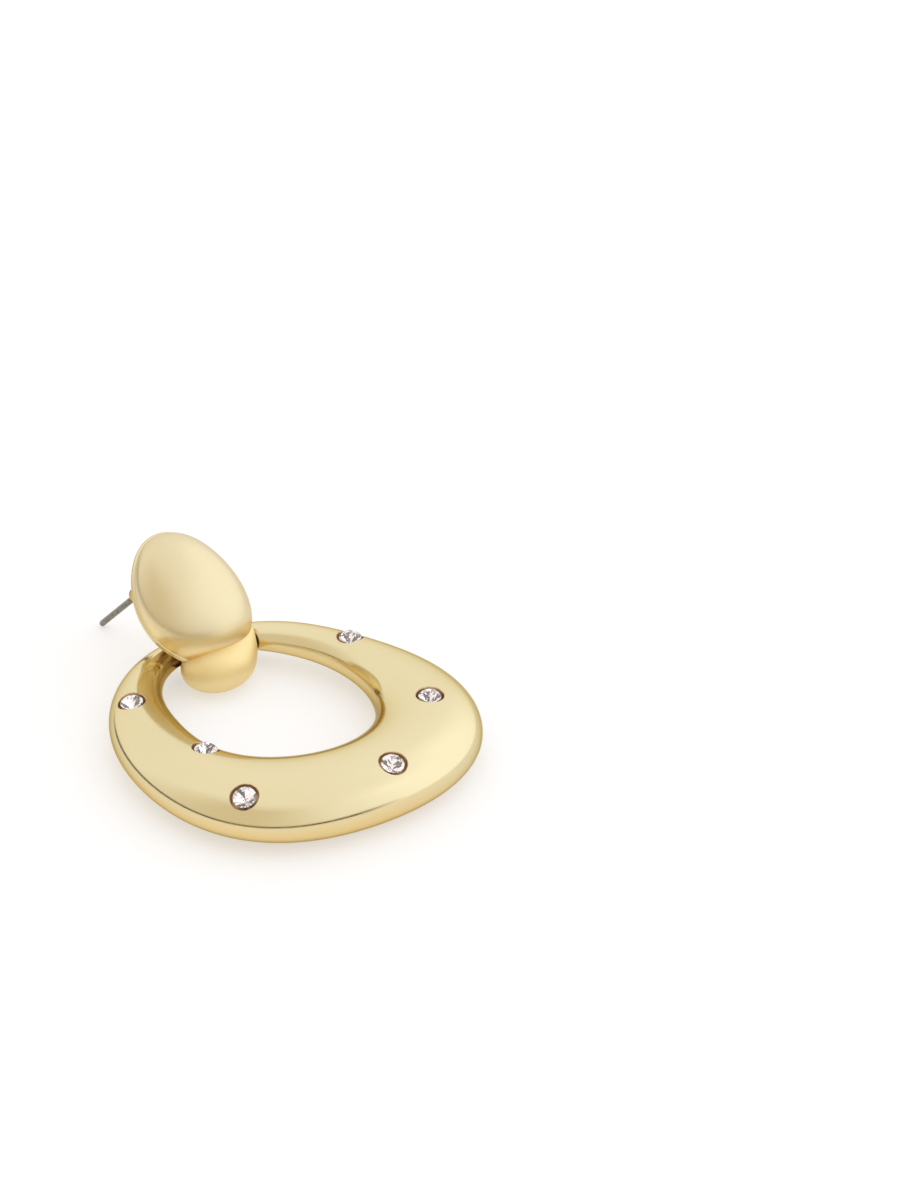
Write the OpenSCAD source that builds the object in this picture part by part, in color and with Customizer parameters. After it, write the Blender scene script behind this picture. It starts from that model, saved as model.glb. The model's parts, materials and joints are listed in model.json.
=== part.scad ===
// Doorknocker earring, lying on a table as it would by itself.
// A puffed, pierced ring with six crystals hangs by its thin bar in the loop of a domed stud.
// Millimetres, Z up, X along the bar, the ring's thick end towards -Y, the table at Z = 0.

/* [Ring outline] */
// Mean radius of the outer edge
ring_radius = 22.3; // [21.8:0.05:22.8]
// Draws the outer edge into an oval by this much
ring_oval = 1.3; // [1:0.05:1.5]
// Direction of that oval, from the bar's axis
ring_oval_dir = -47.5; // [-55:0.5:-40]
// Draws the outer edge into a pear by this much
ring_pear = 0.86; // [0.6:0.01:1]
// Direction of the pear's narrow corner
ring_pear_dir = -17.5; // [-25:0.5:-10]
// Squares the outer edge by this much
ring_square = 0.28; // [0.1:0.01:0.35]
// Direction of the squared corners
ring_square_dir = -24.5; // [-30:0.5:-20]

/* [Ring hole] */
// Mean radius of the hole's edge
hole_radius = 13.1; // [12.6:0.05:13.2]
// How far the hole sits to one side of the ring's middle
hole_shift_x = -0.9; // [-1.4:0.1:-0.4]
// How far the hole sits towards the bar
hole_shift_y = 5.3; // [4.8:0.05:5.35]
// Draws the hole into an oval by this much
hole_oval = 1.45; // [1:0.05:1.5]
// Direction of that oval
hole_oval_dir = -64; // [-68:1:-58]
// Draws the hole into a pear by this much
hole_pear = 0.3; // [0.1:0.01:0.4]
// Direction of the pear's narrow corner
hole_pear_dir = -5.5; // [-12:0.5:0]
// Squares the hole by this much
hole_square = 0.2; // [0:0.01:0.25]
// Direction of the squared corners
hole_square_dir = 37.5; // [32:0.5:43]

/* [Ring section] */
// Mean depth of the ring, front to back
ring_depth = 5.6; // [5.4:0.1:5.8]
// How much deeper the thick end is than the mean, and the bar thinner
ring_depth_change = 2.2; // [2:0.05:2.3]
// Direction of the thick end
thick_dir = -78; // [-84:1:-72]
// Share of the depth that lies behind the parting plane
back_share = 0.4; // [0.38:0.01:0.42]
// Fullness of the section: 2 is an ellipse, more is squarer
ring_fullness = 2.15; // [2:0.05:2.4]
// Slope of the ring where it rests, thick end down
ring_tilt = 0.25; // [0.15:0.05:0.4]

/* [Crystals] */
// Diameter of a crystal
stone_d = 2.9; // [2.4:0.1:3]
// Diameter of the drilled seat round a crystal
seat_d = 3.5; // [3.3:0.1:3.7]
// Height of a crystal's table above the gold beside it
stone_rise = 0.35; // [0.1:0.05:0.5]

/* [Stud] */
// Length of the domed pebble from its top to its lower end
pebble_length = 18.9; // [18:0.1:20]
// Width of the pebble
pebble_width = 15.1; // [14.5:0.1:16.5]
// Height of the dome in front of the pebble's rim
dome_height = 4.7; // [4:0.1:5.5]
// Height of the rounded back behind the rim
back_height = 2.4; // [2:0.1:2.8]
// Thickness of the rim itself
rim_thickness = 0.8; // [0.4:0.1:1]
// Lean of the pebble, from flat on its back
stud_lean = 44.5; // [43:0.5:46]
// Turn of the pebble about the vertical, from square to the bar
stud_yaw = 17.5; // [14:0.5:20]
// Turn of the pebble in its own plane
stud_twist = 9; // [0:0.5:12]

/* [Loop] */
// Width of the loop, along the bar
loop_width = 9.6; // [8:0.1:10]
// Clearance between the bar and the tunnel
loop_clearance = 0.15; // [0.1:0.05:0.3]
// How far the loop's rounded lip reaches in front of the bar's axis
lip_reach = 8.05; // [7.6:0.05:8.3]

/* [Ear post] */
// Diameter of the post
post_d = 0.84; // [0.7:0.02:1]
// Diameter of the boss that carries the post
boss_d = 2.2; // [1.8:0.1:2.6]

/* [Hidden] */

// Crystals round the ring: angle from the bar's axis, place across from the hole (0) to the outer
// edge (1), and how far the seat is drilled square to the sloping gold (1) or to the table (0)
STONE_ANGLE = 0;
STONE_ACROSS = 1;
STONE_SQUARE = 2;
STONES = [
    [37, 0.585, 0.2],
    [-25, 0.515, 1],
    [-67.5, 0.71, 1],
    [-123.5, 0.785, 1],
    [-144, 0.225, 0.4],
    [157, 0.58, 1]
];

ring_sections = 84;
section_sides = 20;

// The bar runs through the loop at this angle, and is a little waisted there
bar_angle = 97;
bar_waist = 0.1;
bar_thinning = 0.15;
waist_spread = 20;
function near_bar(a) = exp(-pow((a - bar_angle) / waist_spread, 2));
function waist(a) = 1 - bar_waist * near_bar(a);

// Radius of a soft outline at angle a, a circle with three waves laid on it
function wave(a, k, amp, dir) = amp * cos(k * (a - dir));
function outer_r(a) = ring_radius + wave(a, 2, ring_oval, ring_oval_dir)
    + wave(a, 3, ring_pear, ring_pear_dir) + wave(a, 4, ring_square, ring_square_dir);
function hole_r(a) = hole_radius + wave(a, 2, hole_oval, hole_oval_dir)
    + wave(a, 3, hole_pear, hole_pear_dir) + wave(a, 4, hole_square, hole_square_dir);

// Points of the outer edge and of the hole's edge, from the ring's middle
function polar(r, a) = [r * cos(a), r * sin(a)];
function outer_pt(a) = polar(outer_r(a), a);
function hole_pt(a) = [hole_shift_x, hole_shift_y] + polar(hole_r(a), a);
function depth_at(a) =
    (1 - bar_thinning * near_bar(a)) * (ring_depth + ring_depth_change * cos(a - thick_dir));

// Puffed sections follow one law: fullness 2 gives an ellipse, more is squarer
function signed_pow(v, p) = sign(v) * pow(abs(v), p);
function rise_at(s, n) = pow(max(0, 1 - pow(abs(s), n)), 1 / n);

// A place on the parting plane at angle a: s runs across from -1 at the hole to 1 at the outer edge
function ring_xy(a, s) =
    (outer_pt(a) + hole_pt(a)) / 2 + waist(a) * s * (outer_pt(a) - hole_pt(a)) / 2;

// The parting plane slopes down to the thick end, as high as the ring's back needs to rest on the table
function slope_z(p) = -tan(ring_tilt) * (p * polar(1, thick_dir));
rest_z = max([
    for (i = [0 : ring_sections - 1])
    let (a = i * 360 / ring_sections)
    back_share * depth_at(a) - slope_z(ring_xy(a, 0))
]);
function parting_z(p) = rest_z + slope_z(p);

// A point of the section, where h runs up from -1 at the back to 1 on the face
function ring_pt(a, s, h) =
    let (p = ring_xy(a, s), share = h > 0 ? 1 - back_share : back_share)
    [p.x, p.y, parting_z(p) + h * share * depth_at(a)];
function section_pt(a, t) =
    ring_pt(a, signed_pow(cos(t), 2 / ring_fullness), signed_pow(sin(t), 2 / ring_fullness));

ring_points = [
    for (i = [0 : ring_sections - 1])
    for (j = [0 : section_sides - 1])
    section_pt(i * 360 / ring_sections, j * 360 / section_sides)
];

// Hinge axis: along X through the middle of the bar that lies in the loop, taken a little wider than it
bar_margin = 1;
function span_mid(v) = (min(v) + max(v)) / 2;
bar_middle_x = ring_xy(bar_angle, 0).x;
bar_points = [
    for (p = ring_points)
    if (abs(p.x - bar_middle_x) < loop_width / 2 + bar_margin && p.y > 0) p
];
hinge = [
    bar_middle_x,
    span_mid([for (p = bar_points) p.y]),
    span_mid([for (p = bar_points) p.z])
];
function reach(points) = max([for (p = points) norm([p.y - hinge.y, p.z - hinge.z])]);
tunnel_r = reach(bar_points) + loop_clearance;

// Past the loop's ends the bar bends away, so the loop opens into a wider mouth there
mouth_depth = 2.2;
mouth_points = [
    for (p = ring_points)
    if (abs(p.x - bar_middle_x) < loop_width / 2 + mouth_depth && p.y > 0) p
];
mouth_r = reach(mouth_points) + loop_clearance;

// The pebble's middle seen from the hinge: sideways, towards its top, and forward
pebble_side = -1.95;
pebble_up = 6.25;
pebble_front = 2.7;
dome_fullness = 2.05;
pebble_sides = 48;
pebble_steps = 9;

// The pebble's outline leans a little to one side, by a wave three times round
function pebble_swell(t) = 1 + 0.02 * cos(3 * t) + 0.027 * sin(3 * t);
function pebble_pt(t, f, side) =
    let (
        rho = pow(cos(f), 2 / dome_fullness) * pebble_swell(t),
        h = side > 0 ? dome_height : back_height
    )
    [
        rho * sin(t) * pebble_width / 2,
        rho * cos(t) * pebble_length / 2,
        side * (h * pow(sin(f), 2 / dome_fullness) + rim_thickness / 2)
    ];

// A closed solid of m rings with n points each, front ring first, and a pole at either end
module closed_stack(points, n, m, top, bottom) {
    sides = [
        for (i = [0 : m - 2])
        for (j = [0 : n - 1])
        let (
            a = i * n + j,
            b = i * n + (j + 1) % n,
            c = b + n,
            d = a + n
        )
        each [[a, c, b], [a, d, c]]
    ];
    front = [for (j = [0 : n - 1]) [n * m, j, (j + 1) % n]];
    back = [for (j = [0 : n - 1]) [n * m + 1, n * (m - 1) + (j + 1) % n, n * (m - 1) + j]];
    polyhedron(points = concat(points, [top, bottom]), faces = concat(sides, front, back));
}

module pebble() {
    step = 90 / pebble_steps;
    turn = 360 / pebble_sides;
    front = [
        for (i = [pebble_steps - 1 : -1 : 0])
        for (j = [0 : pebble_sides - 1])
        pebble_pt(j * turn, i * step, 1)
    ];
    back = [
        for (i = [0 : pebble_steps - 1])
        for (j = [0 : pebble_sides - 1])
        pebble_pt(j * turn, i * step, -1)
    ];
    top = [0, 0, dome_height + rim_thickness / 2];
    bottom = [0, 0, -back_height - rim_thickness / 2];
    closed_stack(concat(front, back), pebble_sides, 2 * pebble_steps, top, bottom);
}

module at_pebble() {
    translate(hinge)
    rotate([0, 0, stud_yaw])
    rotate([stud_lean, 0, 0])
    translate([pebble_side, pebble_up, pebble_front])
    rotate(stud_twist)
    children();
}

// The same placement for a point
function turn_z(p, a) = [p.x * cos(a) - p.y * sin(a), p.x * sin(a) + p.y * cos(a), p.z];
function turn_x(p, a) = [p.x, p.y * cos(a) - p.z * sin(a), p.y * sin(a) + p.z * cos(a)];
function stud_pt(p) =
    let (q = [pebble_side, pebble_up, pebble_front] + turn_z(p, stud_twist))
    hinge + turn_z(turn_x(q, stud_lean), stud_yaw);

// The ear post stands square to the pebble, on a boss behind it, and its tip rests on the table
post_side = -3.5;
post_up = 4.5;
boss_back = -4.7;
post_root_z = stud_pt([post_side, post_up, 0]).z;
post_tip = -(post_root_z - post_d / 2 * sin(stud_lean)) / cos(stud_lean);
tip = stud_pt([post_side, post_up, post_tip]);
tip_reach_y = post_d / 2 * sqrt(1 - pow(sin(stud_lean) * cos(stud_yaw), 2));

// The whole piece is set down with the middle of its box over the origin
middle_x = span_mid([for (p = ring_points) p.x]);
middle_y = (min([for (p = ring_points) p.y]) + tip.y + tip_reach_y) / 2;
module set_down() {
    translate([-middle_x, -middle_y, 0])
    children();
}

module ring_body() {
    n = section_sides;
    m = ring_sections;
    faces = [
        for (i = [0 : m - 1])
        for (j = [0 : n - 1])
        let (
            a = i * n + j,
            b = i * n + (j + 1) % n,
            c = ((i + 1) % m) * n + (j + 1) % n,
            d = ((i + 1) % m) * n + j
        )
        each [[a, b, c], [a, c, d]]
    ];
    polyhedron(points = ring_points, faces = faces);
}

// A crystal's table stands just proud of the gold
stone_table = 0.55;
kite_d = 0.84 * stone_d;
culet_d = 0.04 * stone_d;
crown_h = 0.55;
girdle_h = 0.1;
pavilion_h = 1.15;
seat_gap = 0.1;
thin = 0.01;
function face_pt(a, s) = ring_pt(a, s, rise_at(s, ring_fullness));
function stone_s(i) = 2 * STONES[i][STONE_ACROSS] - 1;

// The way the gold faces at a crystal, from two short steps over it, and the seat's own axis
small_turn = 1;
small_step = 0.02;
function face_dir(a, s) =
    let (
        along = face_pt(a + small_turn, s) - face_pt(a - small_turn, s),
        across = face_pt(a, s + small_step) - face_pt(a, s - small_step),
        n = cross(across, along)
    )
    n / norm(n);
function seat_axis(i) =
    let (
        n = face_dir(STONES[i][STONE_ANGLE], stone_s(i)),
        share = STONES[i][STONE_SQUARE]
    )
    share * n + (1 - share) * [0, 0, 1];

module on_ring(i) {
    axis = seat_axis(i);
    translate(face_pt(STONES[i][STONE_ANGLE], stone_s(i)))
    rotate([0, acos(axis.z / norm(axis)), atan2(axis.y, axis.x)])
    children();
}

module seat() {
    floor_z = stone_rise - crown_h - girdle_h - pavilion_h - seat_gap;
    translate([0, 0, floor_z])
    cylinder(d = seat_d, h = 5, $fn = 48);
}

module brilliant() {
    girdle_z = stone_rise - crown_h - girdle_h;
    hull() {
        translate([0, 0, stone_rise - thin])
        rotate(22.5)
        cylinder(d = stone_d * stone_table, h = thin, $fn = 8);
        translate([0, 0, stone_rise - crown_h / 2])
        cylinder(d = kite_d, h = thin, $fn = 8);
        translate([0, 0, girdle_z])
        cylinder(d = stone_d, h = girdle_h, $fn = 16);
        translate([0, 0, girdle_z - pavilion_h])
        cylinder(d = culet_d, h = thin, $fn = 8);
    }
}

module ring() {
    color("gold")
    difference() {
        ring_body();
        for (i = [0 : len(STONES) - 1]) on_ring(i) seat();
    }
}

module stone(i) {
    color("lavenderblush")
    on_ring(i)
    brilliant();
}

// The loop behind the pebble: a barrel round the bar and a rounded lip in front of it
edge_r = 0.8;
module barrel_rim(x, r) {
    translate([x, 0, 0])
    rotate([0, 90, 0])
    rotate_extrude($fn = 32)
    translate([r - edge_r, 0])
    circle(r = edge_r, $fn = 16);
}

lip_semi = [5, 3.3, 3.3];
lip_side = -1.2;
module loop_body() {
    translate(hinge)
    hull() {
        barrel_rim(-loop_width / 2 + edge_r, hinge.z);
        barrel_rim(loop_width / 2 - edge_r, hinge.z);
        translate([lip_side, lip_semi.y - lip_reach, lip_semi.z - hinge.z])
        scale(lip_semi)
        sphere(r = 1, $fn = 32);
    }
}

module boss() {
    at_pebble()
    translate([post_side, post_up, boss_back])
    cylinder(d = boss_d, h = -boss_back, $fn = 32);
}

module stud() {
    color("palegoldenrod")
    difference() {
        union() {
            at_pebble() pebble();
            loop_body();
            boss();
        }
        translate(hinge)
        rotate([0, 90, 0]) {
            cylinder(r = tunnel_r, h = 30, center = true, $fn = 64);
            for (s = [-1, 1])
                translate([0, 0, s * (loop_width / 2 + mouth_depth)])
                cylinder(r = mouth_r, h = 2 * mouth_depth, center = true, $fn = 64);
        }
    }
}

module ear_post() {
    color("dimgray")
    at_pebble()
    translate([post_side, post_up, post_tip])
    cylinder(d = post_d, h = boss_back - post_tip, $fn = 32);
}

set_down() ring();
set_down() stud();
set_down() ear_post();
set_down() stone(0);  // stone_1
set_down() stone(1);  // stone_2
set_down() stone(2);  // stone_3
set_down() stone(3);  // stone_4
set_down() stone(4);  // stone_5
set_down() stone(5);  // stone_6
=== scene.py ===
import json
import math
import bmesh
import bpy
import numpy as np
from mathutils import Matrix, Vector
from mathutils.bvhtree import BVHTree


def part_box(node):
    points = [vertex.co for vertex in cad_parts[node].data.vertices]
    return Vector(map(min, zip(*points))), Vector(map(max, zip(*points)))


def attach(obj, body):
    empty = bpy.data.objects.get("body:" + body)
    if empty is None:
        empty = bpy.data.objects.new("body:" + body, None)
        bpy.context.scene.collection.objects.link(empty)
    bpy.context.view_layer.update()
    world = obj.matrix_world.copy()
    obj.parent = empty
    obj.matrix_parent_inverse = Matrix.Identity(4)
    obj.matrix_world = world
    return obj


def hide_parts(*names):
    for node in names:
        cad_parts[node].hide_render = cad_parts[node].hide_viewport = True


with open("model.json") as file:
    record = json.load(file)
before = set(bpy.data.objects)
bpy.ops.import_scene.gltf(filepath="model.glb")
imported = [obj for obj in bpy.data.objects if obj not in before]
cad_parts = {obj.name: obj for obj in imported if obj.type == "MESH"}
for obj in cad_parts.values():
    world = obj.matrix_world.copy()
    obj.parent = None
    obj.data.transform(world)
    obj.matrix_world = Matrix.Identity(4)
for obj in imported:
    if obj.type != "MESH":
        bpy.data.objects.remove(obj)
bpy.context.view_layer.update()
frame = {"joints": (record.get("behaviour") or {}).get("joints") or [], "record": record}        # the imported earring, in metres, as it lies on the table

mm = 0.001        # the pieces' dictionaries hold millimetres and degrees, the studio's metres and degrees
record = frame["record"]
scene = bpy.context.scene


# small helpers

def newObject(name, verts, faces, smooth=True):
    mesh = bpy.data.meshes.new(name)
    mesh.from_pydata([tuple(v) for v in verts], [], [tuple(f) for f in faces])
    mesh.validate()
    mesh.update()
    if smooth:
        mesh.polygons.foreach_set("use_smooth", [True] * len(mesh.polygons))
    obj = bpy.data.objects.new(name, mesh)
    scene.collection.objects.link(obj)
    return obj


def signedPower(v, p):
    return np.sign(v) * np.abs(v) ** p


def gridFaces(rows, cols, closeRows):
    # quads between rows of points; every row is a closed loop
    faces = []
    for i in range(rows if closeRows else rows - 1):
        for j in range(cols):
            a = i * cols + j
            b = i * cols + (j + 1) % cols
            up = ((i + 1) % rows) * cols
            faces.append((a, up + j, up + (j + 1) % cols, b))
    return faces


def lathe(profile, sides):
    # a closed solid turned about Z from (radius, height) pairs, first and last on the axis
    turn = np.linspace(0, 2 * math.pi, sides, endpoint=False)
    inner = profile[1:-1]
    verts = [(r * math.cos(t), r * math.sin(t), z) for r, z in inner for t in turn]
    faces = gridFaces(len(inner), sides, False)
    bottom = len(verts)
    verts += [(0, 0, profile[0][1]), (0, 0, profile[-1][1])]
    last = (len(inner) - 1) * sides
    for j in range(sides):
        nxt = (j + 1) % sides
        faces.append((bottom, j, nxt))
        faces.append((bottom + 1, last + nxt, last + j))
    return np.array(verts), faces


def outward(obj):
    # all faces look outwards
    bm = bmesh.new()
    bm.from_mesh(obj.data)
    bmesh.ops.recalc_face_normals(bm, faces=bm.faces)
    bm.to_mesh(obj.data)
    bm.free()


def setMaterials(obj, materials, index=0):
    # gives a piece its list of materials, and all its faces the one at index
    obj.data.materials.clear()
    for mat in materials:
        obj.data.materials.append(mat)
    obj.data.polygons.foreach_set("material_index", [index] * len(obj.data.polygons))


def applyBoolean(target, cutter, operation):
    mod = target.modifiers.new("cut", "BOOLEAN")
    mod.operation = operation
    mod.solver = "EXACT"
    mod.object = cutter
    bpy.context.view_layer.update()
    evaluated = target.evaluated_get(bpy.context.evaluated_depsgraph_get())
    mesh = bpy.data.meshes.new_from_object(evaluated)
    target.modifiers.clear()
    target.data = mesh
    bpy.data.objects.remove(cutter)


class SmoothSource:
    # remembers a form before it is cut, so that what is left of it keeps its true normals
    def __init__(self, obj):
        mesh = obj.data
        self.verts = [v.co.copy() for v in mesh.vertices]
        self.normals = [v.normal.copy() for v in mesh.vertices]
        self.polys = [tuple(p.vertices) for p in mesh.polygons]
        self.tree = BVHTree.FromPolygons(self.verts, self.polys)

    def normalAt(self, point):
        _, _, index, _ = self.tree.find_nearest(point)
        total = Vector((0, 0, 0))
        for v in self.polys[index]:
            weight = 1 / ((self.verts[v] - point).length_squared + 1e-12)
            total += self.normals[v] * weight
        return total.normalized()


def restoreNormals(obj, sources, creaseAngle=38):
    # sources gives, for a material's index, the form whose normals its faces take
    mesh = obj.data
    mesh.polygons.foreach_set("use_smooth", [True] * len(mesh.polygons))
    mesh.set_sharp_from_angle(angle=math.radians(creaseAngle))
    normals = [(0.0, 0.0, 0.0)] * len(mesh.loops)
    found = {}
    for poly in mesh.polygons:
        source = sources.get(poly.material_index)
        if source is None:
            continue
        for loop in poly.loop_indices:
            v = mesh.loops[loop].vertex_index
            key = (v, poly.material_index)
            if key not in found:
                found[key] = tuple(source.normalAt(mesh.vertices[v].co))
            normals[loop] = found[key]
    mesh.normals_split_custom_set(normals)


def fitInside(points, node):
    # shrinks a fine form by the few microns by which it leaves its coarser CAD solid's box
    low, high = (np.array(c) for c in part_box(node))
    pointsLow, pointsHigh = points.min(0), points.max(0)
    ratio = ((high - low) / (pointsHigh - pointsLow)).min()
    spare = 0.99995
    scale = min(1.0, ratio) * spare
    base = np.array([(low[0] + high[0]) / 2, (low[1] + high[1]) / 2, low[2]])
    own = (pointsLow + pointsHigh) / 2
    own[2] = pointsLow[2]
    return (points - own) * scale + base


# materials

def newMaterial(name):
    mat = bpy.data.materials.new(name)
    mat.use_nodes = True
    tree = mat.node_tree
    return mat, tree, tree.nodes["Principled BSDF"]


def addNoise(tree, scale, detail, stretch=(1, 1, 1)):
    coords = tree.nodes.new("ShaderNodeTexCoord")
    mapping = tree.nodes.new("ShaderNodeMapping")
    mapping.inputs["Scale"].default_value = stretch
    noise = tree.nodes.new("ShaderNodeTexNoise")
    noise.inputs["Scale"].default_value = scale
    noise.inputs["Detail"].default_value = detail
    tree.links.new(coords.outputs["Object"], mapping.inputs["Vector"])
    tree.links.new(mapping.outputs["Vector"], noise.inputs["Vector"])
    return noise


def addRange(tree, source, low, high, fromLow=0.3, fromHigh=0.7):
    span = tree.nodes.new("ShaderNodeMapRange")
    span.inputs["From Min"].default_value = fromLow
    span.inputs["From Max"].default_value = fromHigh
    span.inputs["To Min"].default_value = low
    span.inputs["To Max"].default_value = high
    tree.links.new(source, span.inputs["Value"])
    return span.outputs["Result"]


def addRamp(tree, source, stops):
    ramp = tree.nodes.new("ShaderNodeValToRGB")
    while len(ramp.color_ramp.elements) < len(stops):
        ramp.color_ramp.elements.new(0.5)
    for element, (place, colour) in zip(ramp.color_ramp.elements, stops):
        element.position = place
        element.color = (*colour, 1)
    tree.links.new(source, ramp.inputs["Fac"])
    return ramp.outputs["Color"]


def addMath(tree, operation, first, second):
    # first is a socket, second a socket or a number
    node = tree.nodes.new("ShaderNodeMath")
    node.operation = operation
    tree.links.new(first, node.inputs[0])
    if isinstance(second, (int, float)):
        node.inputs[1].default_value = second
    else:
        tree.links.new(second, node.inputs[1])
    return node.outputs["Value"]


def addTint(tree, factor, first, second):
    # blends two colours, each a socket or a plain colour
    node = tree.nodes.new("ShaderNodeMixRGB")
    for socket, colour in ((node.inputs["Color1"], first), (node.inputs["Color2"], second)):
        if isinstance(colour, tuple):
            socket.default_value = (*colour, 1)
        else:
            tree.links.new(colour, socket)
    tree.links.new(factor, node.inputs["Fac"])
    return node.outputs["Color"]


def addBump(tree, height, strength, distance):
    bump = tree.nodes.new("ShaderNodeBump")
    bump.inputs["Strength"].default_value = strength
    bump.inputs["Distance"].default_value = distance
    tree.links.new(height, bump.inputs["Height"])
    return bump.outputs["Normal"]


def towards(tree, direction, turn):
    # how far a direction points to one side of the room, 1 for straight to it and -1 for away
    along = addMath(tree, "MULTIPLY", direction.outputs["X"], math.cos(math.radians(turn)))
    across = addMath(tree, "MULTIPLY", direction.outputs["Y"], math.sin(math.radians(turn)))
    return addMath(tree, "ADD", along, across)


def splitCoords(tree, kind):
    coords = tree.nodes.new("ShaderNodeTexCoord")
    split = tree.nodes.new("ShaderNodeSeparateXYZ")
    tree.links.new(coords.outputs[kind], split.inputs["Vector"])
    return split


goldLook = {
    "pale": (0.735, 0.652, 0.408),
    "warm": (0.715, 0.632, 0.392),
    "toneScale": 60,
    "side": (0.78, 0.60, 0.29),        # painted shade: the sides and the back get this warmer, deeper gold, standing in for the dimmer, gold-tinted light they reflect
    "paintedShadeHeight": (0.05, 0.5),         # how far up the metal looks where that painted shade is full, and where none
    "panelWashTurn": -8,                    # the side towards the bright panel, left as pale as the face: a painted highlight wash
    "panelWashSpread": (0.3, 0.85),
    "edge": (0.62, 0.52, 0.32),        # at a grazing angle
    "rough": (0.10, 0.16),
    "grainScale": 900,
    "waveScale": 180,                  # soft polishing waves
    "waveBump": 0.02,
    "waveDepth": 0.0002,
}
satinLook = {
    "pale": (0.70, 0.605, 0.365),
    "warm": (0.68, 0.585, 0.35),
    "toneScale": 70,
    # painted shade: the sides and the underside get this warmer, deeper gold, the top stays paler
    "side": (0.90, 0.68, 0.30),
    "paintedShadeHeight": (-0.1, 0.45),
    "edge": (0.62, 0.52, 0.32),
    "rough": (0.31, 0.38),
    "grainScale": 1600,
    "lacquer": 0.8,                    # a thin clear coat, which whitens the brightest part
    "lacquerRough": 0.16,
    "lacquerGloss": 1.7,
}


def platedGold(name, look):
    # gold painted paler where it looks up and warmer where it looks sideways or down, as stand-ins for
    # highlight and shade, with a fine grain in its gloss
    mat, tree, bsdf = newMaterial(name)
    bsdf.inputs["Metallic"].default_value = 1
    bsdf.inputs["Specular Tint"].default_value = (*look["edge"], 1)
    tone = addNoise(tree, look["toneScale"], 3)
    face = addRamp(tree, tone.outputs["Fac"], [(0.3, look["warm"]), (0.7, look["pale"])])
    # painted shade: the more the metal faces sideways or down, the more of the warmer, deeper gold it gets
    paintedShade = addRange(tree, splitCoords(tree, "Normal").outputs["Z"], 1, 0, *look["paintedShadeHeight"])
    # painted highlight wash: towards the bright panel the warmer tint fades, leaving that side as pale as
    # the face
    if "panelWashTurn" in look:
        panelFacing = towards(tree, splitCoords(tree, "Normal"), look["panelWashTurn"])
        paintedShade = addMath(tree, "MULTIPLY", paintedShade, addRange(tree, panelFacing, 1, 0, *look["panelWashSpread"]))
    tree.links.new(addTint(tree, paintedShade, face, look["side"]), bsdf.inputs["Base Color"])
    grain = addNoise(tree, look["grainScale"], 4)
    tree.links.new(addRange(tree, grain.outputs["Fac"], *look["rough"]), bsdf.inputs["Roughness"])
    return mat, tree, bsdf


def polishedGold():
    mat, tree, bsdf = platedGold("polished gold", goldLook)
    wave = addNoise(tree, goldLook["waveScale"], 1)
    bump = addBump(tree, wave.outputs["Fac"], goldLook["waveBump"], goldLook["waveDepth"])
    tree.links.new(bump, bsdf.inputs["Normal"])
    return mat


def satinGold():
    mat, tree, bsdf = platedGold("satin gold", satinLook)
    bsdf.inputs["Coat Weight"].default_value = satinLook["lacquer"]
    bsdf.inputs["Coat Roughness"].default_value = satinLook["lacquerRough"]
    bsdf.inputs["Coat IOR"].default_value = satinLook["lacquerGloss"]
    return mat


# painted reflection: the loop is a warm gold all over with no paler top, standing in for the gold-tinted
# light the pebble above reflects onto it
loopLook = {
    "tones": [(0.3, (0.84, 0.685, 0.355)), (0.7, (0.87, 0.715, 0.385))],
    "scale": 260, "detail": 3, "rough": (0.50, 0.58),
}
seatLook = {
    "tones": [(0.3, (0.46, 0.32, 0.18)), (0.7, (0.80, 0.62, 0.38))],
    "scale": 1500, "detail": 3, "rough": (0.3, 0.5), "metallic": 0.9,
}
drilledLook = {
    "tones": [(0.3, (0.55, 0.38, 0.16)), (0.7, (0.80, 0.62, 0.34))],
    "scale": 800, "detail": 3, "rough": (0.22, 0.4),
    "stretch": (6, 1, 1),              # marks of the drill, close together along the bore
}
steelLook = {
    "tones": [(0.35, (0.08, 0.075, 0.055)), (0.65, (0.30, 0.28, 0.22))],
    "scale": 2600, "detail": 5, "rough": (0.28, 0.46), "bump": 0.2, "bumpDepth": 0.00004,
}
foilLook = {
    "tones": [(0.35, (0.88, 0.84, 0.86)), (0.65, (0.98, 0.96, 0.97))],
    "scale": 2200, "detail": 2, "rough": (0.03, 0.12),
    "glow": 0.2, "glowColour": (1.0, 0.93, 0.95),      # the sparkle that a plain studio doesn't give
}
# painted shade: a dark foil for the facets that should show dark reflections
darkFoilLook = {
    "tones": [(0.35, (0.05, 0.045, 0.04)), (0.65, (0.20, 0.17, 0.16))],
    "scale": 2600, "detail": 2, "rough": 0.12,
}
glassLook = {
    "colour": (1.0, 0.985, 0.985), "clear": 0.9, "bend": 1.58, "hazeScale": 1800, "haze": (0.0, 0.03),
}


def grainedMetal(name, look):
    # metal whose tone and gloss follow one fine noise
    mat, tree, bsdf = newMaterial(name)
    bsdf.inputs["Metallic"].default_value = look.get("metallic", 1)
    grain = addNoise(tree, look["scale"], look["detail"], look.get("stretch", (1, 1, 1))).outputs["Fac"]
    tree.links.new(addRamp(tree, grain, look["tones"]), bsdf.inputs["Base Color"])
    if isinstance(look["rough"], tuple):
        tree.links.new(addRange(tree, grain, *look["rough"]), bsdf.inputs["Roughness"])
    else:
        bsdf.inputs["Roughness"].default_value = look["rough"]
    if "bump" in look:
        tree.links.new(addBump(tree, grain, look["bump"], look["bumpDepth"]), bsdf.inputs["Normal"])
    if "glow" in look:
        bsdf.inputs["Emission Color"].default_value = (*look["glowColour"], 1)
        bsdf.inputs["Emission Strength"].default_value = look["glow"]
    return mat


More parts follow.
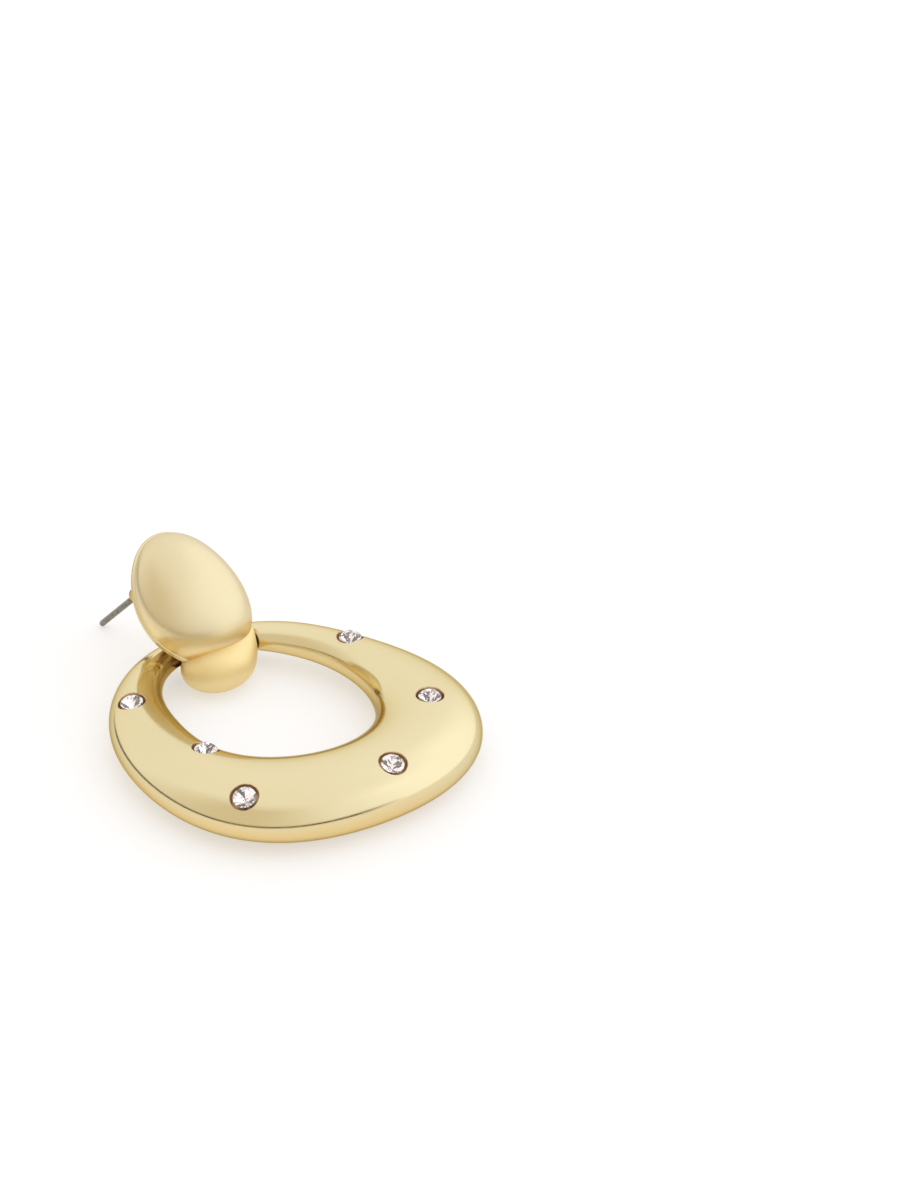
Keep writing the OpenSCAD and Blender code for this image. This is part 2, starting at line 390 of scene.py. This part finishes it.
def crystalGlass():
    mat, tree, bsdf = newMaterial("crystal glass")
    bsdf.inputs["Base Color"].default_value = (*glassLook["colour"], 1)
    bsdf.inputs["Transmission Weight"].default_value = glassLook["clear"]
    bsdf.inputs["IOR"].default_value = glassLook["bend"]
    haze = addNoise(tree, glassLook["hazeScale"], 2)
    tree.links.new(addRange(tree, haze.outputs["Fac"], *glassLook["haze"]), bsdf.inputs["Roughness"])
    return mat


gold = polishedGold()
satin = satinGold()
loopMetal = grainedMetal("loop gold", loopLook)
darkSeat = grainedMetal("dark seat gold", seatLook)
drilled = grainedMetal("drilled gold", drilledLook)
steel = grainedMetal("drawn steel", steelLook)
glass = crystalGlass()
foil = grainedMetal("mirror foil", foilLook)
darkFoil = grainedMetal("shadow foil", darkFoilLook)
ringMetals = [gold, darkSeat]
studMetals = [satin, gold, drilled, loopMetal]
print("materials made")


# ring

ringShape = {
    # waves laid on a round outline: how many, how high, and the direction of the first crest
    "outerRadius": 22.3, "outerWaves": [(2, 1.3, -47.5), (3, 0.86, -17.5), (4, 0.28, -24.5)],
    "holeRadius": 13.1, "holeWaves": [(2, 1.45, -64), (3, 0.3, -5.5), (4, 0.2, 37.5)],
    "holeShift": (-0.9, 5.3),
    "depth": 5.6, "depthChange": 2.2, "thickDir": -78,
    "backShare": 0.4, "fullness": 2.15, "tilt": 0.25,
    "barAngle": 97, "waist": 0.1, "thinning": 0.15, "waistSpread": 20,
    "sections": 384, "sides": 96,
}


def outlineRadius(base, waves, angle):
    total = base
    for count, size, direction in waves:
        total = total + size * np.cos(count * (angle - math.radians(direction)))
    return total


def ringPoints(angle, s, h):
    # angle round the ring, s across from hole (-1) to outer edge (1), h up from -1 to 1, all arrays
    shape = ringShape
    outer = outlineRadius(shape["outerRadius"], shape["outerWaves"], angle)
    hole = outlineRadius(shape["holeRadius"], shape["holeWaves"], angle)
    outerX, outerY = outer * np.cos(angle), outer * np.sin(angle)
    holeX = shape["holeShift"][0] + hole * np.cos(angle)
    holeY = shape["holeShift"][1] + hole * np.sin(angle)
    off = (np.degrees(angle) - shape["barAngle"] + 180) % 360 - 180
    nearBar = np.exp(-(off / shape["waistSpread"]) ** 2)
    waist = 1 - shape["waist"] * nearBar
    x = (outerX + holeX) / 2 + waist * s * (outerX - holeX) / 2
    y = (outerY + holeY) / 2 + waist * s * (outerY - holeY) / 2
    thick = math.radians(shape["thickDir"])
    depth = shape["depth"] + shape["depthChange"] * np.cos(angle - thick)
    depth = depth * (1 - shape["thinning"] * nearBar)
    level = -math.tan(math.radians(shape["tilt"])) * (x * math.cos(thick) + y * math.sin(thick))
    share = np.where(h > 0, 1 - shape["backShare"], shape["backShare"])
    return np.stack([x, y, level + h * share * depth], -1) * mm


ringAngles = np.linspace(0, 2 * math.pi, ringShape["sections"], endpoint=False)[:, None]
sectionTurn = np.linspace(0, 2 * math.pi, ringShape["sides"], endpoint=False)[None, :]
power = 2 / ringShape["fullness"]
sectionAcross = signedPower(np.cos(sectionTurn), power)
sectionUp = signedPower(np.sin(sectionTurn), power)
ringRaw = ringPoints(ringAngles, sectionAcross, sectionUp).reshape(-1, 3)
ringVerts = fitInside(ringRaw, "ring")
rawMiddle = (ringRaw.min(0) + ringRaw.max(0)) / 2
placedMiddle = (ringVerts.min(0) + ringVerts.max(0)) / 2
setDown = placedMiddle - rawMiddle
ring = newObject("puffed_ring", ringVerts, gridFaces(ringShape["sections"], ringShape["sides"], True))
outward(ring)
setMaterials(ring, ringMetals)
ringSource = SmoothSource(ring)
print("ring swept:", len(ring.data.vertices), "points")


# crystals and their seats

stoneShape = {
    # angle round the ring, place across it, and how far the seat is square to the sloping gold
    "places": [(37, 0.585, 0.2), (-25, 0.515, 1), (-67.5, 0.71, 1),
               (-123.5, 0.785, 1), (-144, 0.225, 0.4), (157, 0.58, 1)],
    "diameter": 2.9, "rise": 0.35, "crown": 0.55, "girdle": 0.1, "pavilion": 1.15,
    "table": 0.55, "tableBelow": 0.01, "kites": 0.83, "waist": 0.4, "turnEach": 13,
    "seatDiameter": 3.5, "seatGap": 0.1, "lip": 0.13, "seatSides": 128,
}


def facePoint(angle, s):
    n = ringShape["fullness"]
    h = (1 - abs(s) ** n) ** (1 / n)
    return Vector(ringPoints(np.array(math.radians(angle)), s, h) + setDown)


def stoneFrames():
    # origin on the gold beside each crystal, and the seat's axis
    frames = []
    for angle, across, square in stoneShape["places"]:
        s = 2 * across - 1
        along = facePoint(angle + 1, s) - facePoint(angle - 1, s)
        over = facePoint(angle, s + 0.02) - facePoint(angle, s - 0.02)
        axis = over.cross(along).normalized() * square + Vector((0, 0, 1 - square))
        turn = Matrix.Rotation(math.atan2(axis.y, axis.x), 4, "Z")
        lean = Matrix.Rotation(axis.angle(Vector((0, 0, 1))), 4, "Y")
        frames.append(Matrix.Translation(facePoint(angle, s)) @ turn @ lean)
    return frames


stonePlaces = stoneFrames()


def seatCutter(place):
    # a flat-floored pocket with a softly rolled lip that follows the gold round it
    radius = stoneShape["seatDiameter"] / 2
    lip = stoneShape["lip"]
    floor = stoneShape["rise"] - stoneShape["crown"] - stoneShape["girdle"]
    floor = floor - stoneShape["pavilion"] - stoneShape["seatGap"]
    sides = stoneShape["seatSides"]
    # how far out each ring of points lies and how far above the gold, in lips; the first is the floor
    rings = [(0, None), (0, -1), (0.25, -0.5), (0.6, -0.12), (1, 0.06), (1, 12)]
    seekFrom, noGround = 3, -0.4      # looks for the gold from here, and takes this where there is none
    down = -(place.to_3x3() @ Vector((0, 0, 1)))
    inverse = place.inverted()
    verts = []
    for out, rise in rings:
        r = radius + out * lip
        for j in range(sides):
            t = 2 * math.pi * j / sides
            local = Vector((r * math.cos(t), r * math.sin(t), seekFrom)) * mm
            height = floor * mm
            if rise is not None:
                hit, _, _, _ = ringSource.tree.ray_cast(place @ local, down)
                ground = (inverse @ hit).z if hit else noGround * mm
                height = ground + rise * lip * mm
            verts.append(place @ Vector((local.x, local.y, height)))
    faces = gridFaces(len(rings), sides, False)
    faces.append(tuple(range(sides)))
    faces.append(tuple(range((len(rings) - 1) * sides, len(rings) * sides)))
    cutter = newObject("seat_cutter", verts, faces)
    outward(cutter)
    setMaterials(cutter, ringMetals, 1)
    return cutter


for place in stonePlaces:
    applyBoolean(ring, seatCutter(place), "DIFFERENCE")
restoreNormals(ring, {0: ringSource})
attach(ring, "ring_body")
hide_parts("ring")
print("ring drilled:", len(ring.data.polygons), "faces")


def cutCrystal(name, place, turn):
    # table, eight kites with stars and upper halves, a thin girdle, and a back of two tiers of sixteen
    # foiled facets, a few of them in dark foil, painted shade standing in for the dark reflections such
    # facets show
    s = stoneShape
    girdleTop = s["rise"] - s["crown"]
    radius = s["diameter"] / 2
    cut = bmesh.new()

    def ringOf(count, r, z, start):
        return [cut.verts.new((r * math.cos(a) * mm, r * math.sin(a) * mm, z * mm))
                for a in (math.radians(start + turn + i * 360 / count) for i in range(count))]

    table = ringOf(8, radius * s["table"], s["rise"] - s["tableBelow"], 22.5)
    kites = ringOf(8, radius * s["kites"], girdleTop + s["crown"] * 0.5, 45)
    upper = ringOf(16, radius, girdleTop, 22.5)
    lower = ringOf(16, radius, girdleTop - s["girdle"], 22.5)
    girdleEnd = girdleTop - s["girdle"]
    waist = ringOf(16, radius * (1 - s["waist"]), girdleEnd - s["pavilion"] * s["waist"], 22.5)
    culet = cut.verts.new((0, 0, (girdleEnd - s["pavilion"]) * mm))
    cut.faces.new(table)
    for i in range(8):
        nxt = (i + 1) % 8
        before = (i - 1) % 8
        cut.faces.new((table[i], kites[i], table[nxt]))
        cut.faces.new((table[i], kites[before], upper[2 * i], kites[i]))
        cut.faces.new((kites[i], upper[2 * i], upper[2 * i + 1]))
        cut.faces.new((kites[i], upper[2 * i + 1], upper[(2 * i + 2) % 16]))
    for j in range(16):
        nxt = (j + 1) % 16
        cut.faces.new((upper[j], lower[j], lower[nxt], upper[nxt]))
        face = cut.faces.new((lower[j], waist[j], waist[nxt], lower[nxt]))
        face.material_index = 2 if j % 5 == 2 else 1
        face = cut.faces.new((waist[j], culet, waist[nxt]))
        face.material_index = 2 if j % 6 < 2 else 1
    bmesh.ops.recalc_face_normals(cut, faces=cut.faces)
    mesh = bpy.data.meshes.new(name)
    for mat in (glass, foil, darkFoil):
        mesh.materials.append(mat)
    cut.to_mesh(mesh)
    cut.free()
    mesh.transform(place)
    obj = bpy.data.objects.new(name, mesh)
    scene.collection.objects.link(obj)
    return obj


for index, place in enumerate(stonePlaces):
    crystal = cutCrystal(f"crystal_{index + 1}", place, stoneShape["turnEach"] * index)
    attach(crystal, "ring_body")
    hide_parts(f"stone_{index + 1}")
print("crystals set:", len(stonePlaces))


# stud: the domed pebble with the loop behind it

studShape = {
    "length": 18.9, "width": 15.1, "dome": 4.7, "back": 2.4, "rim": 0.8, "fullness": 2.05,
    "lean": 44.5, "yaw": 17.5, "twist": 9, "middle": (-1.95, 6.25, 2.7),
    "swell": (0.02, 0.027), "shrink": 0.9985, "sides": 224, "steps": 56,
    "bead": 0.26, "beadSteps": 9,      # a fine bead that runs round the rim
}
loopShape = {
    "width": 9.6, "edge": 0.8, "reach": 8.05, "lip": (5.0, 3.3, 3.3), "lipSide": -1.2,
    "clearance": 0.15, "margin": 1, "mouth": 2.2, "softness": 1.8, "fineness": 7,
    "roll": 0.25, "tunnelEnd": 15, "tunnelSides": 160,
}
hinge = np.array(frame["joints"][0]["pos_m"])


def studPlace():
    place = Matrix.Translation(Vector(hinge)) @ Matrix.Rotation(math.radians(studShape["yaw"]), 4, "Z")
    place = place @ Matrix.Rotation(math.radians(studShape["lean"]), 4, "X")
    place = place @ Matrix.Translation(Vector(studShape["middle"]) * mm)
    return place @ Matrix.Rotation(math.radians(studShape["twist"]), 4, "Z")


def pebble():
    s = studShape
    t = np.linspace(0, 2 * math.pi, s["sides"], endpoint=False)
    swell = 1 + s["swell"][0] * np.cos(3 * t) + s["swell"][1] * np.sin(3 * t)
    # the share of the outline that lies inside the bead
    inner = 1 - s["bead"] / np.hypot(np.sin(t) * s["width"] / 2, np.cos(t) * s["length"] / 2)
    p = 2 / s["fullness"]
    turns = np.radians(np.linspace(90, 0, s["steps"] + 1)[1:])
    levels = [(math.cos(f) ** p * inner, s["dome"] * math.sin(f) ** p + s["rim"] / 2) for f in turns]
    for bend in np.radians(np.linspace(80, -80, s["beadSteps"])):
        levels.append((inner + (1 - inner) * math.cos(bend), math.sin(bend) * s["rim"] / 2))
    for f in turns[::-1]:
        levels.append((math.cos(f) ** p * inner, -s["back"] * math.sin(f) ** p - s["rim"] / 2))
    across = swell * np.sin(t) * s["width"] / 2
    along = swell * np.cos(t) * s["length"] / 2
    rows = [np.stack([rho * across, rho * along, np.full_like(t, z)], -1) for rho, z in levels]
    verts = np.concatenate(rows)
    faces = gridFaces(len(rows), s["sides"], False)
    count = len(verts)
    poles = [[0, 0, s["dome"] + s["rim"] / 2], [0, 0, -s["back"] - s["rim"] / 2]]
    verts = np.concatenate([verts, poles])
    last = (len(rows) - 1) * s["sides"]
    for j in range(s["sides"]):
        nxt = (j + 1) % s["sides"]
        faces.append((count, j, nxt))
        faces.append((count + 1, last + nxt, last + j))
    obj = newObject("domed_stud", verts * s["shrink"] * mm, faces)
    obj.data.transform(studPlace())
    outward(obj)
    return obj


def directions(level):
    # even directions all round, and the small triangles between them
    bm = bmesh.new()
    bmesh.ops.create_icosphere(bm, subdivisions=level, radius=1)
    dirs = np.array([v.co[:] for v in bm.verts])
    dirs /= np.linalg.norm(dirs, axis=1)[:, None]
    faces = [tuple(v.index for v in f.verts) for f in bm.faces]
    bm.free()
    return dirs, faces


def loopBody():
    # a soft skin over the two rims of the barrel round the bar and the rounded lip in front of it
    s = loopShape
    dirs, faces = directions(s["fineness"])
    barrel = hinge[2] / mm
    spots = []
    flat = dirs.copy()
    flat[:, 0] = 0
    flat /= np.maximum(np.linalg.norm(flat, axis=1), 1e-9)[:, None]
    for side in (-1, 1):
        centre = np.array([side * (s["width"] / 2 - s["edge"]), 0, 0])
        spots.append(centre + flat * (barrel - s["edge"]) + dirs * s["edge"])
    semi = np.array(s["lip"])
    lipCentre = np.array([s["lipSide"], semi[1] - s["reach"], semi[2] - barrel])
    spots.append(lipCentre + semi ** 2 * dirs / np.linalg.norm(semi * dirs, axis=1)[:, None])
    supports = np.array([(point * dirs).sum(1) for point in spots])
    weights = np.exp(s["softness"] * (supports - supports.max(0)))
    weights /= weights.sum(0)
    verts = sum(w[:, None] * p for w, p in zip(weights, spots))
    obj = newObject("loop", verts * mm + hinge, faces)
    outward(obj)
    return obj


def barReach(half):
    # how far the bar's skin gets from the hinge axis within half a width of the loop's middle
    middle = hinge / mm
    near = ringVerts / mm
    near = near[(np.abs(near[:, 0] - middle[0]) < half) & (near[:, 1] > 0)]
    return np.hypot(near[:, 1] - middle[1], near[:, 2] - middle[2]).max()


def alongHinge(profile, sides, name):
    verts, faces = lathe(profile, sides)
    turn = np.array(Matrix.Rotation(math.radians(90), 3, "Y"))
    obj = newObject(name, verts @ turn.T * mm + hinge, faces)
    outward(obj)
    return obj


def tunnelCutter():
    s = loopShape
    bore = barReach(s["width"] / 2 + s["margin"]) + s["clearance"]
    mouth = barReach(s["width"] / 2 + s["mouth"]) + s["clearance"]
    half, end, roll = s["width"] / 2, s["tunnelEnd"], s["roll"]
    wide = half + 2 * s["mouth"]
    profile = [(0, -end), (bore, -end), (bore, -wide), (mouth, -wide), (mouth, -half), (bore + roll, -half),
               (bore + roll * 0.3, -half + roll * 0.3), (bore, -half + roll)]
    mirrored = [(r, -x) for r, x in reversed(profile)]
    return alongHinge(profile + mirrored, s["tunnelSides"], "tunnel_cutter")


stud = pebble()
setMaterials(stud, studMetals)
firstBead = (studShape["steps"] - 1) * studShape["sides"]
for j in range((studShape["beadSteps"] + 1) * studShape["sides"]):
    stud.data.polygons[firstBead + j].material_index = 1
pebbleSource = SmoothSource(stud)
loop = loopBody()
setMaterials(loop, studMetals, 3)
loopSource = SmoothSource(loop)

# the boss and the post share one axis, which the frame gives
postMount = record["mounts"][0]
postAxis = Vector(postMount["axis"]).normalized()
postMiddle = Vector(postMount["pos_m"])
postRadius = postMount["dims"]["r_mm"]
postHalf = postMount["dims"]["length_mm"] / 2
postTurn = Vector((0, 0, 1)).rotation_difference(postAxis).to_matrix().to_4x4()


def postPiece(name, profile, sides):
    verts, faces = lathe(profile, sides)
    obj = newObject(name, verts * mm, faces)
    obj.data.transform(Matrix.Translation(postMiddle) @ postTurn)
    outward(obj)
    return obj


bossShape = {"radius": 1.1, "roll": 0.22, "sunk": 4.0, "sides": 64}
bossRadius, bossRoll = bossShape["radius"], bossShape["roll"]
boss = postPiece("boss", [
    (0, -postHalf - bossShape["sunk"]), (bossRadius, -postHalf - bossShape["sunk"]),
    (bossRadius, -postHalf - bossRoll), (bossRadius - 0.3 * bossRoll, -postHalf - 0.3 * bossRoll),
    (bossRadius - bossRoll, -postHalf - 0.001), (0, -postHalf - 0.001)], bossShape["sides"])
setMaterials(boss, studMetals, 1)
tunnel = tunnelCutter()
setMaterials(tunnel, studMetals, 2)
applyBoolean(stud, loop, "UNION")
applyBoolean(stud, boss, "UNION")
applyBoolean(stud, tunnel, "DIFFERENCE")
restoreNormals(stud, {0: pebbleSource, 3: loopSource})
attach(stud, "stud_body")
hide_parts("stud")
print("stud joined:", len(stud.data.polygons), "faces")


# ear post

postShape = {
    "sides": 72, "inside": 0.002, "creaseAngle": 50,
    # the rounded tip: in from the skin, and down from the end
    "tip": [(0.002, 0.22), (0.03, 0.1), (0.11, 0.03), (0.24, 0.004)],
}
skin = postRadius - postShape["inside"]
tip = [(postRadius - inward, postHalf - down) for inward, down in postShape["tip"]]
post = postPiece("post", [(0, -postHalf), (skin, -postHalf), *tip, (0, postHalf)], postShape["sides"])
post.data.set_sharp_from_angle(angle=math.radians(postShape["creaseAngle"]))
setMaterials(post, [steel])
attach(post, "stud_body")
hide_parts("ear_post")
print("post turned")


# studio

studio = {
    "cameraDistance": 0.405, "cameraLean": 34, "cameraTurn": 67.5,
    "lookAt": (0.03058, 0.016106, 0.0), "focalLength": 90,
    "tableSize": 3, "tableTone": (0.52, 0.525, 0.54), "tableGlow": 0.46,
    "skyStrength": 1.2, "plainColour": (0.95, 0.92, 0.89),
    # the bright side
    "lampTurn": 5, "lampSpread": (0.0, 0.7), "lampColour": (1.0, 1.0, 1.03),
    # a tall soft panel there
    "panelTurn": -8, "panelSpread": (0.5, 0.84), "panelTop": (0.74, 0.93), "panelGlow": 0.14,
    # the dim side, in front on the left
    "shadeTurn": -150, "shadeSpread": (0.35, 0.97), "shadeTop": (0.85, 0.985),
    "shadeColour": (0.74, 0.66, 0.54),
    # the thin dark gap between table and tent
    "edgeTurn": 27, "edgeSpread": (-0.1, 0.22), "edgeHeight": (0.09, 0.14),
    "edgeColour": (0.14, 0.11, 0.06),
}


def makeFloor():
    half = studio["tableSize"] / 2
    corners = [(-half, -half, 0), (half, -half, 0), (half, half, 0), (-half, half, 0)]
    floor = newObject("table_top", corners, [(0, 1, 2, 3)], smooth=False)
    mat, tree, bsdf = newMaterial("pale table")
    tone = studio["tableTone"]
    lighter = tuple(c + 0.01 for c in tone)
    bsdf.inputs["Roughness"].default_value = 0.9
    bsdf.inputs["Specular IOR Level"].default_value = 0.1
    cloud = addNoise(tree, 4, 2)
    shade = addRamp(tree, cloud.outputs["Fac"], [(0.3, tone), (0.7, lighter)])
    tree.links.new(shade, bsdf.inputs["Base Color"])
    bsdf.inputs["Emission Color"].default_value = (1, 1, 1, 1)
    bsdf.inputs["Emission Strength"].default_value = studio["tableGlow"]
    setMaterials(floor, [mat])


def makeSky():
    # a white tent, brightest on the right and dimmest in front on the left, with a thin dark gap at the
    # table's edge except by the lamp
    world = bpy.data.worlds.new("tent")
    scene.world = world
    world.use_nodes = True
    tree = world.node_tree
    split = splitCoords(tree, "Generated")
    height = split.outputs["Z"]
    flat = tree.nodes.new("ShaderNodeMath")
    flat.operation = "SUBTRACT"
    flat.inputs[0].default_value = 1.0001
    tree.links.new(addMath(tree, "MULTIPLY", height, height), flat.inputs[1])
    reach = addMath(tree, "POWER", flat.outputs["Value"], 0.5)

    def facing(name, out=(0, 1)):
        return addRange(tree, towards(tree, split, studio[name + "Turn"]), *out, *studio[name + "Spread"])

    def facingLevel(name):
        # the same, whatever the height
        level = addMath(tree, "DIVIDE", towards(tree, split, studio[name + "Turn"]), reach)
        return addRange(tree, level, 0, 1, *studio[name + "Spread"])

    glow = addTint(tree, facing("lamp"), studio["plainColour"], studio["lampColour"])
    fade = addRange(tree, height, 1, 0, *studio["shadeTop"])
    glow = addTint(tree, addMath(tree, "MULTIPLY", facingLevel("shade"), fade), glow, studio["shadeColour"])
    under = addRange(tree, height, studio["panelGlow"], 0, *studio["panelTop"])
    panel = addMath(tree, "MULTIPLY", facingLevel("panel"), under)
    low = addRange(tree, height, 1, 0, *studio["edgeHeight"])
    gap = addMath(tree, "MULTIPLY", low, facing("edge", (1, 0)))
    light = addTint(tree, gap, glow, studio["edgeColour"])
    brighter = tree.nodes.new("ShaderNodeVectorMath")
    brighter.operation = "ADD"
    tree.links.new(light, brighter.inputs[0])
    tree.links.new(panel, brighter.inputs[1])
    background = tree.nodes["Background"]
    tree.links.new(brighter.outputs["Vector"], background.inputs["Color"])
    background.inputs["Strength"].default_value = studio["skyStrength"]


def makeCamera():
    lean = math.radians(studio["cameraLean"])
    turn = math.radians(studio["cameraTurn"])
    view = Vector((math.cos(lean) * math.cos(turn), math.cos(lean) * math.sin(turn), -math.sin(lean)))
    data = bpy.data.cameras.new("camera")
    data.lens = studio["focalLength"]
    data.sensor_width = 36
    data.clip_start = 0.01
    data.clip_end = 10
    camera = bpy.data.objects.new("camera", data)
    scene.collection.objects.link(camera)
    camera.location = Vector(studio["lookAt"]) - view * studio["cameraDistance"]
    camera.rotation_euler = view.to_track_quat("-Z", "Y").to_euler()
    scene.camera = camera


makeFloor()
makeSky()
makeCamera()
scene.view_settings.view_transform = "Standard"
print("studio set")
